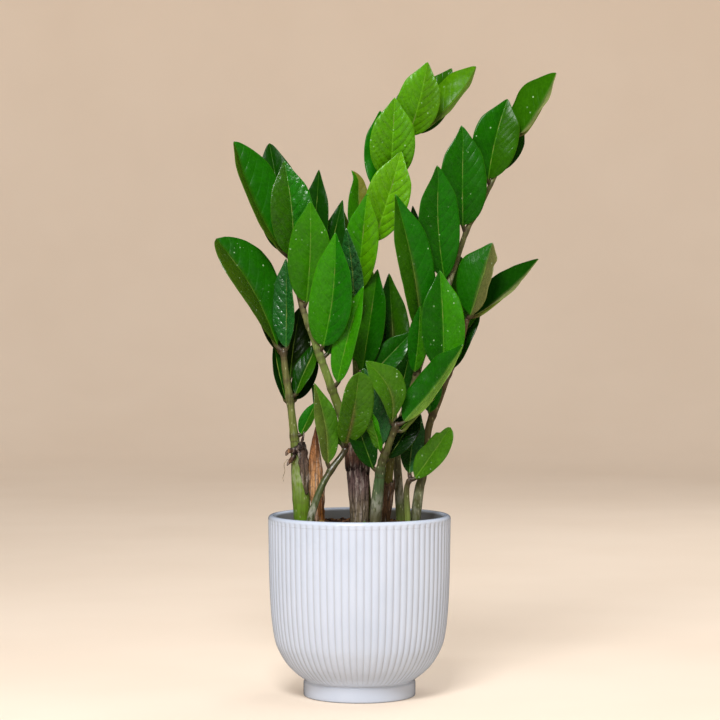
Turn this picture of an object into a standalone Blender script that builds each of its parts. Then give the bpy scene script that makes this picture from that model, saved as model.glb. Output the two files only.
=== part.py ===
"""Potted ZZ plant: nine leaning stems with paired glossy leaflets, in a reeded ceramic pot on a plain foot.

The design sizes are in millimetres. The origin is on the pot's axis at the plane it stands on, +Z up,
and the plant is seen from the front along +Y.
"""

import math

import bmesh
import bpy
import numpy as np
from mathutils import Matrix

MM = 0.001

# Pot: turned profile rows are (radius, height).
RIB_COUNT = 72
RIB_DEPTH = 0.9
FOOT_PROFILE = [(41.5, 0.0), (43.0, 1.4), (43.0, 10.4), (41.4, 12.2)]
BELLY_PROFILE = [(43.6, 13.6), (49.2, 18.0), (56.3, 25.4), (61.8, 34.6), (65.2, 44.0), (67.7, 62.0),
                 (69.2, 90.0), (70.0, 131.0)]
LIP_PROFILE = [(70.0, 133.0), (69.4, 136.8), (67.2, 138.9), (65.0, 138.0), (64.0, 135.0)]
INNER_PROFILE = [(63.6, 110.0), (61.4, 62.0), (55.0, 36.0), (44.0, 24.0)]

# Potting mix: fills the inside, mounded in the middle.
MIX_SEGMENTS = 36
MIX_EDGE_Z = 129.0
MIX_MOUND = 3.6
MIX_PROFILE = [(42.0, 24.8), (53.6, 36.4), (60.4, 62.0), (62.8, 110.0), (63.2, MIX_EDGE_Z)]
MIX_MOUND_RADII = [52.0, 38.0, 22.0]

# Sockets in the mix that the stems stand in.
SOCKET_BOTTOM_Z = 117.0
SOCKET_TOP_Z = 140.0
SOCKET_CLEARANCE = 0.9
SOCKET_SEGMENTS = 12

# Stems: rows of (x, y, z, radius) from the planted end to the top.
STEM_POINTS = 15
STEM_SAMPLES = 240
STEM_STEP = 2.0
STEMS = {
    "a": [(-44, -2, 117.6, 5.6), (-44, -2, 134, 6.2), (-45, -1, 162, 6.9), (-48, 0, 185, 4.6),
          (-50, 1, 200, 3.3), (-53, 2, 225, 2.8), (-57, 2, 251, 2.6), (-58.5, 2, 267, 2.2)],
    "b": [(0, 3, 117.6, 5.2), (0, 3, 134, 5.6), (-1, 3, 165, 5.6), (-3, 2, 188, 4.6), (-10, 1, 205, 3.8),
          (-22, -1, 238, 3.2), (-34, -3, 271, 2.7), (-43, -5, 296, 2.3), (-49, -6, 319, 1.9),
          (-54, -7, 340, 1.4)],
    "d": [(-37, -28, 117.6, 2.9), (-37, -28, 137, 2.9), (-30, -25, 159, 2.7), (-22, -21, 174, 2.5),
          (-13, -17, 186, 2.3), (-9, -16, 193, 1.9)],
    "e": [(12, -12, 117.6, 4.3), (12, -12, 135, 4.4), (13, -13, 148, 4.6), (15, -14, 167, 3.9),
          (17, -16, 180, 3.0), (22, -18, 193, 2.7), (28.5, -22, 211, 2.1)],
    "f": [(19, 14, 117.6, 3.4), (19, 14, 133, 3.5), (22, 13, 158, 3.4), (24, 12, 180, 3.1),
          (29, 11, 203, 2.9), (38, 10, 226, 2.7), (50, 8, 265, 2.5), (69, 6, 317, 2.2), (82, 4, 356, 2.0), (91, 4, 372, 1.8),
          (110, 4, 411, 1.5), (121, 4, 430, 1.2)],
    "g": [(32, 26, 117.6, 3.6), (32, 26, 133, 3.7), (29, 27, 180, 3.0), (26, 28, 226, 2.2),
          (23, 30, 268, 1.5)],
    "h": [(37, -6, 117.6, 2.3), (37, -6, 135, 2.4), (36, -6, 158, 2.2), (39, -8, 168, 1.8)],
    "i": [(43, 2, 117.6, 3.9), (43, 2, 134, 4.0), (46, 2, 158, 3.7), (49, 1, 171, 3.2), (53, 0, 205, 2.8),
          (61, -1, 227, 2.6), (70, -3, 253, 2.4), (78, -4, 273, 2.0), (83, -5, 291, 1.6)],
    "j": [(7, 22, 117.6, 3.2), (7, 22, 133, 3.3), (2, 22, 195, 3.0), (-3, 22, 256, 2.6), (-3, 22, 288, 2.4),
          (3, 22, 323, 2.2), (13, 22, 350, 2.0), (22, 21, 381, 1.8), (37, 18, 423, 1.5), (47, 16, 441, 1.2)],
}

# Leaflets: name, stem and node height on it; tip x, y, z; full width; turn about the midrib, positive
# when the right half comes forward; fold of each half; bow of the midrib toward the upper face; sway of
# the midrib to the right; where the blade is widest, as a share of its length.
LEAFLETS = [
    ("a1", "a", 265, (-111, 0, 351), 52, -50, 20, 2, 4, 0.62),
    ("a2", "a", 264, (-56, -8, 335), 23, 38, 20, 0, 0, 0.45),
    ("a3", "a", 262, (-80, 18, 325), 17, -20, 15, -3, 0, 0.42),
    ("a4", "a", 229, (-30, 7, 274), 17, 35, 15, 0, -1, 0.42),
    ("a5", "a", 241, (-46, 33, 298), 26, -12, 12, -5, 0, 0.45),
    ("a8", "a", 199, (-33, -4, 226), 12, 30, 20, 0, 0, 0.42),
    ("b1", "b", 337, (-95, 0, 424), 40, -50, 25, 0, 4, 0.45),
    ("b2", "b", 336, (-71, 32, 424), 28, 0, 12, -7, 0, 0.42),
    ("b3", "b", 333, (-57, -20, 409), 34, -5, 15, 4, 2, 0.45),
    ("b4", "b", 315, (-31, 0, 403), 24, 12, 12, 0, 3, 0.42),
    ("b5", "b", 298, (-37, -30, 378), 34, 5, 15, 4, 2, 0.45),
    ("b6", "b", 264, (-18, -40, 354), 37, 12, 18, 4, 4, 0.42),
    ("b7", "b", 259, (-4, -6, 308), 21, 15, 15, -2, 0, 0.42),
    ("b8", "b", 236, (3, -25, 314), 22, 33, 15, 3, 0, 0.45),
    ("k1", "b", 284, (-13, 6, 380), 22, 10, 12, 1, 0, 0.5),
    ("j1", "j", 427, (52, 0, 485), 34, 8, 15, 3, 2, 0.45),
    ("j2", "j", 393, (27, 0, 458), 36, 0, 15, 4, 0, 0.45),
    ("j3", "j", 345, (32, 2, 417), 35, 5, 18, 3, 1, 0.5),
    ("j4", "j", 307, (6, -4, 385), 27, 8, 15, 3, 0, 0.48),
    ("j5", "j", 434, (90, 26, 484), 32, 50, 25, 3, 5, 0.45),
    ("j6", "j", 430, (72, 44, 484), 24, 10, 12, -3, 0, 0.42),
    ("j9", "j", 333, (-2, 24, 406), 18, -15, 20, -3, 0, 0.42),
    ("k2", "j", 285, (-10, -16, 358), 20, 20, 20, 3, 3, 0.45),
    ("q1", "j", 267, (10, 36, 326), 22, 20, 20, -4, 0, 0.5),
    ("t1", "f", 429, (150, 0, 477), 38, 62, 25, 4, 5, 0.45),
    ("t2", "f", 392, (113, 0, 457), 36, 0, 15, 4, -2, 0.48),
    ("t3", "f", 356, (79, -12, 436), 37, -5, 12, 4, -1, 0.42),
    ("t4", "f", 315, (60, -28, 405), 33, -8, 14, 0, -3, 0.5),
    ("c1", "f", 269, (27, -32, 383), 32, -30, 20, 4, 3, 0.5),
    ("p2", "f", 244, (46, -13, 293), 20, 10, 15, 0, 0, 0.42),
    ("r1", "i", 290, (101, -14, 347), 42, 45, 25, 4, 3, 0.5),
    ("r2", "i", 291, (137, 4, 335), 33, 64, 25, 3, 4, 0.5),
    ("r3", "i", 281, (80, 24, 337), 28, 10, 15, -6, 0, 0.45),
    ("p1", "i", 252, (61, -16, 326), 36, 3, 18, 4, -4, 0.45),
    ("n1", "g", 219, (39, 18, 263), 22, -10, 20, 0, 0, 0.5),
    ("n3", "g", 227, (23, 36, 324), 31, 10, 15, -3, 0, 0.38),
    ("e2", "e", 182, (46, -10, 220), 24, 25, 15, 0, 0, 0.5),
    ("e3", "e", 208, (5, -44, 258), 28, -30, 20, 3, 7, 0.58),
    ("e4", "e", 210, (78, -36, 270), 32, 78, 35, 0, 5, 0.48),
    ("e5", "e", 187, (3, -24, 252), 26, 0, 15, 0, 0, 0.5),
    ("h1", "h", 168, (47, 2, 216), 18, 5, 15, 0, -2, 0.45),
    ("h2", "h", 167, (69, -22, 207), 27, 25, 15, 0, 0, 0.6),
    ("m1", "d", 175, (-34, -32, 241), 24, -25, 20, 3, 2, 0.45),
    ("m2", "d", 192, (0, -56, 250), 32, -25, 18, 3, 0, 0.55),
    ("m3", "d", 190, (-37, 14, 239), 20, 50, 10, 0, 0, 0.5),
]
BLADE_THICKNESS = 1.0
BLADE_STATIONS = [0.0, 0.05, 0.13, 0.26, 0.42, 0.58, 0.74, 0.88, 1.0]
BLADE_NARROWING = 0.68
PETIOLE_SHARE = 0.05
PETIOLE_WIDTH = 2.2
TIP_WIDTH = 0.8
ATTACH_GAP = 1.2

# Dry papery bracts: sleeves round a stem are (height, outer radius), loose scales are (x, y, z, width).
SLEEVES = {
    "papery_sheath_b": ("b", [(134.0, 7.1), (150.0, 7.3), (168.0, 8.8), (182.0, 9.0), (190.0, 6.8)]),
    "papery_sheath_f": ("f", [(134.5, 4.8), (150.0, 4.7), (164.0, 4.5)]),
}
SLEEVE_SEGMENTS = 12
SLEEVE_CLEARANCE = 0.8
SCALES = {
    "dry_cataphyll": [(-30, -9, 133.6, 5), (-33, -9, 160, 10), (-34, -8, 185, 7), (-33.5, -8, 206, 1.2)],
    "papery_sheath_a": [(-41.5, -9.0, 160, 3), (-42.5, -8.6, 172, 6.5), (-43.5, -7.6, 184, 8),
                        (-44, -6.6, 193, 5)],
}
SCALE_THICKNESS = 0.9
SCALE_POINTS = 8
SCALE_BULGE = 0.22

SHADES = {
    "ceramic": ((0.86, 0.87, 0.88), 0.12),
    "mix": ((0.03, 0.017, 0.01), 0.95),
    "stem": ((0.16, 0.2, 0.05), 0.5),
    "leaf": ((0.03, 0.12, 0.01), 0.25),
    "bract": ((0.2, 0.1, 0.05), 0.8),
}


def clear_scene():
    for obj in list(bpy.data.objects):
        bpy.data.objects.remove(obj)


def material(name, shade):
    color, roughness = SHADES[shade]
    made = bpy.data.materials.new(name)
    made.use_nodes = True
    shader = made.node_tree.nodes["Principled BSDF"]
    shader.inputs["Base Color"].default_value = (*color, 1.0)
    shader.inputs["Roughness"].default_value = roughness
    shader.inputs["Metallic"].default_value = 0.0
    return made


def add_object(name, data, shade):
    obj = bpy.data.objects.new(name, data)
    bpy.context.scene.collection.objects.link(obj)
    data.materials.append(material(name, shade))
    return obj


def add_mesh(name, bm, shade, sharp_degrees=40):
    bmesh.ops.scale(bm, vec=(MM, MM, MM), verts=bm.verts)
    mesh = bpy.data.meshes.new(name)
    bm.to_mesh(mesh)
    bm.free()
    mesh.shade_smooth()
    mesh.set_sharp_from_angle(angle=math.radians(sharp_degrees))
    return add_object(name, mesh, shade)


def solidify(obj, thickness):
    made = obj.modifiers.new("Thickness", "SOLIDIFY")
    made.thickness = thickness * MM
    made.offset = 0.0


def unit(vector):
    return vector / np.linalg.norm(vector)


# ---------------------------------------------------------------- turned pieces


def ring(bm, radius, height, count, groove=0.0, centre=(0.0, 0.0)):
    """A ring of vertices that starts at the front; a groove pulls every second one inward."""
    verts = []
    for index in range(count):
        angle = 2 * math.pi * index / count - math.pi / 2
        reach = radius - groove * (index % 2)
        verts.append(bm.verts.new((centre[0] + reach * math.cos(angle), centre[1] + reach * math.sin(angle),
                                   height)))
    return verts


def bridge(bm, lower, upper):
    """Faces between two rings; one ring may have twice as many vertices as the other."""
    count = max(len(lower), len(upper))
    for index in range(count):
        after = (index + 1) % count
        corners = [lower[index * len(lower) // count], lower[after * len(lower) // count],
                   upper[after * len(upper) // count], upper[index * len(upper) // count]]
        bm.faces.new(list(dict.fromkeys(corners)))


def turned(profile_rings, bm):
    """Closes a run of rings into a solid with flat ends."""
    bm.faces.new(list(reversed(profile_rings[0])))
    for lower, upper in zip(profile_rings, profile_rings[1:]):
        bridge(bm, lower, upper)
    bm.faces.new(profile_rings[-1])


def make_pot():
    bm = bmesh.new()
    rings = [ring(bm, radius, height, RIB_COUNT) for radius, height in FOOT_PROFILE]
    rings += [ring(bm, radius, height, 2 * RIB_COUNT, RIB_DEPTH) for radius, height in BELLY_PROFILE]
    rings += [ring(bm, radius, height, RIB_COUNT) for radius, height in LIP_PROFILE + INNER_PROFILE]
    turned(rings, bm)
    return add_mesh("pot", bm, "ceramic", 50)


def make_mix():
    bm = bmesh.new()
    rings = [ring(bm, radius, height, MIX_SEGMENTS) for radius, height in MIX_PROFILE]
    edge = MIX_PROFILE[-1][0]
    for radius in MIX_MOUND_RADII:
        rings.append(ring(bm, radius, MIX_EDGE_Z + MIX_MOUND * (1 - (radius / edge) ** 2), MIX_SEGMENTS))
    turned(rings, bm)
    mix = add_mesh("potting_mix", bm, "mix")
    cut = mix.modifiers.new("Sockets", "BOOLEAN")
    cut.operation = "DIFFERENCE"
    cut.solver = "EXACT"
    cut.object = make_socket_cutter()
    return mix


def make_socket_cutter():
    """A peg for each stem, a little wider than its planted end."""
    bm = bmesh.new()
    for rows in STEMS.values():
        x, y, _, radius = rows[0]
        middle = Matrix.Translation((x, y, (SOCKET_BOTTOM_Z + SOCKET_TOP_Z) / 2))
        wide = radius + SOCKET_CLEARANCE
        bmesh.ops.create_cone(bm, cap_ends=True, segments=SOCKET_SEGMENTS, radius1=wide, radius2=wide,
                              depth=SOCKET_TOP_Z - SOCKET_BOTTOM_Z, matrix=middle)
    cutter = add_mesh("socket_cutter", bm, "mix")
    cutter.hide_render = True
    cutter.display_type = "WIRE"
    return cutter


# ---------------------------------------------------------------- stems


def smooth_path(rows, count):
    """Evenly spaced points on a Catmull-Rom curve through the rows."""
    rows = np.array(rows, float)
    padded = np.vstack([2 * rows[0] - rows[1], rows, 2 * rows[-1] - rows[-2]])
    points = []
    for place in np.linspace(0, len(rows) - 1, count):
        start = min(int(place), len(rows) - 2)
        t = place - start
        p0, p1, p2, p3 = padded[start:start + 4]
        points.append(0.5 * (2 * p1 + (p2 - p0) * t + (2 * p0 - 5 * p1 + 4 * p2 - p3) * t ** 2
                             + (3 * p1 - p0 - 3 * p2 + p3) * t ** 3))
    return np.array(points)


def stem_at(stem, height):
    """Position, radius and direction of a stem at a height."""
    path = smooth_path(STEMS[stem], STEM_SAMPLES)
    here = np.array([np.interp(height, path[:, 2], path[:, axis]) for axis in range(4)])
    near = np.array([np.interp(height - STEM_STEP, path[:, 2], path[:, axis]) for axis in range(3)])
    far = np.array([np.interp(height + STEM_STEP, path[:, 2], path[:, axis]) for axis in range(3)])
    return here[:3], here[3], unit(far - near)


def make_stem(stem):
    curve = bpy.data.curves.new("stem_" + stem, "CURVE")
    curve.dimensions = "3D"
    curve.bevel_depth = MM
    curve.bevel_resolution = 2
    curve.use_fill_caps = True
    path = smooth_path(STEMS[stem], STEM_POINTS)
    line = curve.splines.new("POLY")
    line.points.add(len(path) - 1)
    for point, (x, y, z, radius) in zip(line.points, path):
        point.co = (x * MM, y * MM, z * MM, 1.0)
        point.radius = radius
    return add_object("stem_" + stem, curve, "stem")


# ---------------------------------------------------------------- leaflets


def leaf_frame(leaf):
    """Base point, tip point, and the width and upper-face directions of a leaflet."""
    _, stem, height, tip, _, turn = leaf[:6]
    node, radius, along = stem_at(stem, height)
    tip = np.array(tip, float)
    reach = tip - node
    side = unit(reach - np.dot(reach, along) * along)
    base = node + side * (radius + ATTACH_GAP)
    axis = unit(tip - base)
    right = unit(np.cross(axis, (0.0, -1.0, 0.0)))
    front = np.cross(right, axis)
    angle = math.radians(turn)
    across = right * math.cos(angle) + front * math.sin(angle)
    face = front * math.cos(angle) - right * math.sin(angle)
    return base, tip, right, across, face


def blade_share(place, widest):
    """Half width of the blade at a place from 0 at its foot to 1 at its tip, as a share of the most."""
    rise = BLADE_NARROWING * widest / (1 - widest)
    most = widest ** rise * (1 - widest) ** BLADE_NARROWING
    return place ** rise * (1 - place) ** BLADE_NARROWING / most


def leaf_point(leaf, frame, place, side):
    """A point of the blade: place runs from the petiole to the tip, side from -1 to 1 across it."""
    base, tip, right, across, face = frame
    width, fold, bow, sway, widest = leaf[4], leaf[6], leaf[7], leaf[8], leaf[9]
    blade = max(0.0, (place - PETIOLE_SHARE) / (1 - PETIOLE_SHARE))
    least = PETIOLE_WIDTH + (TIP_WIDTH - PETIOLE_WIDTH) * place
    half = max(least, width * blade_share(blade, widest)) / 2
    arch = math.sin(math.pi * place)
    middle = base + (tip - base) * place + face * bow * arch + right * sway * arch
    angle = math.radians(fold)
    return middle + half * (across * side * math.cos(angle) + face * abs(side) * math.sin(angle))


def make_leaflet(leaf):
    bm = bmesh.new()
    frame = leaf_frame(leaf)
    rows = [[bm.verts.new(leaf_point(leaf, frame, place, side)) for side in (-1.0, 0.0, 1.0)]
            for place in BLADE_STATIONS]
    for near, far in zip(rows, rows[1:]):
        bm.faces.new((near[0], near[1], far[1], far[0]))
        bm.faces.new((near[1], near[2], far[2], far[1]))
    leaflet = add_mesh("leaflet_" + leaf[0], bm, "leaf", 60)
    solidify(leaflet, BLADE_THICKNESS)
    return leaflet


# ---------------------------------------------------------------- dry bracts


def make_sleeve(name, stem, rows):
    """A papery tube round the foot of a stem, open at both ends."""
    bm = bmesh.new()
    loops = []
    for height, radius in rows:
        node = stem_at(stem, height)[0]
        loops.append(ring(bm, radius, height, SLEEVE_SEGMENTS, centre=node[:2]))
    for height, _ in reversed(rows):
        node, stem_radius, _ = stem_at(stem, height)
        loops.append(ring(bm, stem_radius + SLEEVE_CLEARANCE, height, SLEEVE_SEGMENTS, centre=node[:2]))
    for lower, upper in zip(loops, loops[1:] + loops[:1]):
        bridge(bm, lower, upper)
    return add_mesh(name, bm, "bract")


def make_scale(name, rows):
    """A thin papery scale, bowed toward the front across its width."""
    bm = bmesh.new()
    sheet = []
    for x, y, z, width in smooth_path(rows, SCALE_POINTS):
        sheet.append([bm.verts.new((x + side * width / 2, y + SCALE_BULGE * width * (side ** 2 - 1), z))
                      for side in (-1.0, -0.4, 0.4, 1.0)])
    for near, far in zip(sheet, sheet[1:]):
        for index in range(3):
            bm.faces.new((near[index], near[index + 1], far[index + 1], far[index]))
    scale = add_mesh(name, bm, "bract")
    solidify(scale, SCALE_THICKNESS)
    return scale


def main():
    clear_scene()
    make_pot()
    make_mix()
    for stem in STEMS:
        make_stem(stem)
    for leaf in LEAFLETS:
        make_leaflet(leaf)
    for name, (stem, rows) in SLEEVES.items():
        make_sleeve(name, stem, rows)
    for name, rows in SCALES.items():
        make_scale(name, rows)


main()
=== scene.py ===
"""Looks for the potted ZZ plant: veined glossy leaflets, ringed stems, papery bracts, potting mix and a
reeded glazed pot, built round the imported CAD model. Design sizes are in millimetres."""

import math
import random
from typing import NamedTuple

import bpy
import numpy as np
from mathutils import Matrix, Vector, noise


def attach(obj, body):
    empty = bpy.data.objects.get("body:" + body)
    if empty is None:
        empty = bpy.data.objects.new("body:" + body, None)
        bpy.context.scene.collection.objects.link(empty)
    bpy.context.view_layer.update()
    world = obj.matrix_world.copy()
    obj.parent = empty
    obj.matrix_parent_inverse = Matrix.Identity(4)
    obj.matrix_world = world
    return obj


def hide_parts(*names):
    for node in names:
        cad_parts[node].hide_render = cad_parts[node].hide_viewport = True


MM = 0.001
# A little under 2 pi, for random angles and waves.
FULL_TURN = 6.28
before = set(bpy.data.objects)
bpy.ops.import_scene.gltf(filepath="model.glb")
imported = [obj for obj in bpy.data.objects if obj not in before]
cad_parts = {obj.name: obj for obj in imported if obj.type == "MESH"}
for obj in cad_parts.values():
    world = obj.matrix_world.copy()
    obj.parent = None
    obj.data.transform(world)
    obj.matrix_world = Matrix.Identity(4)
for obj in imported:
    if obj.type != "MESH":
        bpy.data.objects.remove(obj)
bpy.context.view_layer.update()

# ---------------------------------------------------------------- plan of the plant, as in the CAD part

STEMS = {
    "a": [(-44, -2, 117.6, 5.6), (-44, -2, 134, 6.2), (-45, -1, 162, 6.9), (-48, 0, 185, 4.6),
          (-50, 1, 200, 3.3), (-53, 2, 225, 2.8), (-57, 2, 251, 2.6), (-58.5, 2, 267, 2.2)],
    "b": [(0, 3, 117.6, 5.2), (0, 3, 134, 5.6), (-1, 3, 165, 5.6), (-3, 2, 188, 4.6), (-10, 1, 205, 3.8),
          (-22, -1, 238, 3.2), (-34, -3, 271, 2.7), (-43, -5, 296, 2.3), (-49, -6, 319, 1.9),
          (-54, -7, 340, 1.4)],
    "d": [(-37, -28, 117.6, 2.9), (-37, -28, 137, 2.9), (-30, -25, 159, 2.7), (-22, -21, 174, 2.5),
          (-13, -17, 186, 2.3), (-9, -16, 193, 1.9)],
    "e": [(12, -12, 117.6, 4.3), (12, -12, 135, 4.4), (13, -13, 148, 4.6), (15, -14, 167, 3.9),
          (17, -16, 180, 3.0), (22, -18, 193, 2.7), (28.5, -22, 211, 2.1)],
    "f": [(19, 14, 117.6, 3.4), (19, 14, 133, 3.5), (22, 13, 158, 3.4), (24, 12, 180, 3.1),
          (29, 11, 203, 2.9), (38, 10, 226, 2.7), (50, 8, 265, 2.5), (69, 6, 317, 2.2), (82, 4, 356, 2.0),
          (91, 4, 372, 1.8), (110, 4, 411, 1.5), (121, 4, 430, 1.2)],
    "g": [(32, 26, 117.6, 3.6), (32, 26, 133, 3.7), (29, 27, 180, 3.0), (26, 28, 226, 2.2),
          (23, 30, 268, 1.5)],
    "h": [(37, -6, 117.6, 2.3), (37, -6, 135, 2.4), (36, -6, 158, 2.2), (39, -8, 168, 1.8)],
    "i": [(43, 2, 117.6, 3.9), (43, 2, 134, 4.0), (46, 2, 158, 3.7), (49, 1, 171, 3.2), (53, 0, 205, 2.8),
          (61, -1, 227, 2.6), (70, -3, 253, 2.4), (78, -4, 273, 2.0), (83, -5, 291, 1.6)],
    "j": [(7, 22, 117.6, 3.2), (7, 22, 133, 3.3), (2, 22, 195, 3.0), (-3, 22, 256, 2.6), (-3, 22, 288, 2.4),
          (3, 22, 323, 2.2), (13, 22, 350, 2.0), (22, 21, 381, 1.8), (37, 18, 423, 1.5), (47, 16, 441, 1.2)],
}


class Leaf(NamedTuple):
    """A leaflet. Sizes are in millimetres and angles in degrees."""

    name: str
    stem: str
    # The height of the node it grows from.
    height: float
    tip: tuple
    width: float
    # How far the blade is turned about its length, and folded up along its midrib.
    turn: float
    fold: float
    # How far its middle bows forward and sways to the right.
    bow: float
    sway: float
    # Where along the blade it is widest, from 0 at its foot to 1 at its tip.
    widest: float
    # The tones of its halves, with the light and shade on each half painted in.
    left: str
    right: str


LEAFLETS = [Leaf(*row) for row in (
    ("a1", "a", 265, (-109.5, 0, 350.5), 52, -50, 20, 2, 4, 0.6, "bronze", "deep"),
    ("a2", "a", 264, (-56, -8, 335), 23, 38, 20, 0, 0, 0.45, "blue", "blue"),
    ("a3", "a", 262, (-80, 18, 325), 17, -20, 15, -3, 0, 0.42, "brown_shade", "brown_shade"),
    ("a4", "a", 229, (-30, 7, 274), 17, 35, 15, 0, -1, 0.42, "dim", "moss"),
    ("a5", "a", 241, (-46, 33, 298), 26, -12, 12, -5, 0, 0.45, "brown_shade", "brown_shade"),
    ("a8", "a", 199, (-33, -4, 226), 12, 30, 20, 0, 0, 0.42, "mid", "moss"),
    ("b1", "b", 337, (-95, 0, 425), 42, -50, 25, 0, -1.5, 0.5, "bronze", "deep"),
    ("b2", "b", 336, (-70, 32, 425), 37, 0, 12, -7, 0, 0.42, "dim", "dim"),
    ("b3", "b", 333, (-57, -20, 409), 34, -5, 15, 4, 2, 0.45, "moss", "mid"),
    ("b4", "b", 315, (-31, 0, 403), 24, 12, 12, 0, 3, 0.42, "dim", "dim"),
    ("b5", "b", 298, (-37, -30, 378), 34, 5, 15, 4, 2, 0.45, "leaf", "leaf"),
    ("b6", "b", 264, (-18, -40, 354), 34.5, 12, 18, 4, 4, 0.42, "fresh", "mid"),
    ("b7", "b", 259, (-4, -6, 308), 21, 15, 15, -2, 0, 0.42, "dim", "dim"),
    ("b8", "b", 236, (3, -25, 314), 22, 33, 15, 3, 0, 0.45, "fresh", "fresh"),
    ("k1", "b", 284, (-13, 6, 380), 22, 10, 12, 1, 0, 0.5, "dim", "dim"),
    ("j1", "j", 427, (52, 0, 485), 34, 8, 15, 3, 2, 0.45, "young", "spring"),
    ("j2", "j", 393, (27, 0, 458), 36, 0, 15, 4, 0, 0.45, "young", "young"),
    ("j3", "j", 345, (32, 2, 417), 35, 5, 18, 3, 1, 0.5, "lime", "lime"),
    ("j4", "j", 307, (6, -4, 385), 27, 8, 15, 3, 0, 0.48, "fresh", "young"),
    ("j5", "j", 434, (90, 26, 484), 32, 50, 25, 3, 5, 0.45, "spring", "sage"),
    ("j6", "j", 430, (72, 44, 484), 30, 10, 12, -3, 0, 0.42, "moss", "moss"),
    ("j9", "j", 333, (-1, 24, 404), 20, -15, 20, -3, -1, 0.42, "leaf", "brass"),
    ("k2", "j", 285, (-10, -16, 358), 20, 20, 20, 3, 3, 0.45, "blue", "bluish_sheen"),
    ("q1", "j", 267, (10, 36, 326), 22, 20, 20, -4, 0, 0.5, "fresh", "lime"),
    ("t1", "f", 429, (150, 0, 477), 37, 60, 25, 4, 4, 0.42, "moss", "pale"),
    ("t2", "f", 392, (113, 0, 457), 36, 0, 15, 4, -2, 0.48, "deep", "moss"),
    ("t3", "f", 356, (79, -12, 436), 37, -5, 12, 4, -1, 0.42, "deep", "deep"),
    ("t4", "f", 315, (60, -28, 405), 33, -8, 14, 0, -3, 0.5, "deep", "mid"),
    ("c1", "f", 269, (27, -32, 383), 34, -30, 20, 4, 1.5, 0.5, "moss", "mid"),
    ("p2", "f", 246, (46, -13, 299), 16, 10, 15, 0, 1, 0.45, "mid", "leaf"),
    ("r1", "i", 290, (101, -14, 347), 42, 45, 25, 4, 3, 0.5, "deep", "bark"),
    ("r2", "i", 291, (137, 4, 335), 28, 62, 25, 3, 4, 0.48, "dim", "pale"),
    ("r3", "i", 275, (77, 24, 338), 39, 10, 15, -6, -2, 0.48, "moss", "moss"),
    ("p1", "i", 247, (61, -16, 326), 35, 3, 18, 4, 1, 0.42, "deep", "fresh"),
    ("n1", "g", 219, (39, 18, 263), 22, -10, 20, 0, 0, 0.5, "dim", "dim"),
    ("n3", "g", 227, (23, 36, 324), 31, 10, 15, -3, 0, 0.38, "dim", "moss"),
    ("e2", "e", 182, (46, -10, 220), 24, 25, 15, 0, 0, 0.5, "night", "night"),
    ("e3", "e", 208, (5, -44, 258), 28, -30, 20, 3, 7, 0.58, "worn", "worn"),
    ("e4", "e", 210, (78, -36, 270), 40, 48, 35, 0, 5, 0.46, "deep", "rim"),
    ("e5", "e", 187, (3, -24, 252), 31, 0, 15, 0, 0, 0.5, "moss", "bluish_sheen"),
    ("h1", "h", 168, (47, 2, 216), 18, 5, 15, 0, -2, 0.45, "dim", "bluish_sheen"),
    ("h2", "h", 167, (69, -22, 207), 24.5, 25, 15, 0, 0, 0.58, "worn", "worn"),
    ("m1", "d", 175, (-34, -32, 241), 19.5, -25, 20, 3, 2, 0.45, "sage", "worn"),
    ("m2", "d", 192, (0, -56, 250), 29, -25, 18, 3, 0, 0.55, "worn", "worn"),
    ("m3", "d", 190, (-37, 14, 239), 20, 50, 10, 0, 0, 0.5, "dim", "dim"),
)]

# Smaller leaflets inside the crown that the CAD part leaves out.
INNER_LEAFLETS = [Leaf(*row) for row in (
    ("a6", "a", 225, (-34, 24, 265), 18, 0, 15, -2, 0, 0.45, "night", "night"),
    ("a7", "a", 225, (-66, 8, 271), 10, -20, 15, -2, 0, 0.45, "night", "dim"),
    ("j7", "j", 380, (16, 28, 450), 27, 0, 15, -3, -1, 0.45, "mid", "mid"),
    ("j8", "j", 407, (34, 30, 469), 20, 0, 15, -2, 0, 0.45, "moss", "mid"),
    ("j10", "j", 304, (-13, 20, 374), 14, 0, 15, 0, 0, 0.45, "brass", "bronze"),
    ("c2", "f", 281, (41, 16, 376), 22, 10, 15, -2, 0, 0.45, "night", "night"),
    ("t5", "f", 401, (127, 18, 436), 16, 0, 15, -2, 0, 0.5, "night", "dim"),
    ("e1", "e", 187, (6, -38, 225), 12, 30, 20, 0, 0, 0.45, "worn", "fresh"),
    ("e6", "e", 173, (-6, -26, 222), 20, 0, 15, 0, 0, 0.5, "dim", "dim"),
    ("p3", "i", 215, (58, -12, 256), 16, 10, 15, 0, 0, 0.45, "mid", "mid"),
    ("r4", "i", 248, (93, 12, 305), 18, 30, 15, 0, 0, 0.45, "dim", "dim"),
    ("n2", "j", 238, (41, 20, 279), 22, 10, 15, 0, 0, 0.45, "deep", "deep"),
    ("q2", "j", 244, (14, 16, 327), 26, 10, 15, 0, 0, 0.45, "leaf", "deep"),
    ("e7", "e", 205, (57, -24, 229), 14, 85, 20, 0, 0, 0.45, "dim", "worn"),
)]

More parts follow.
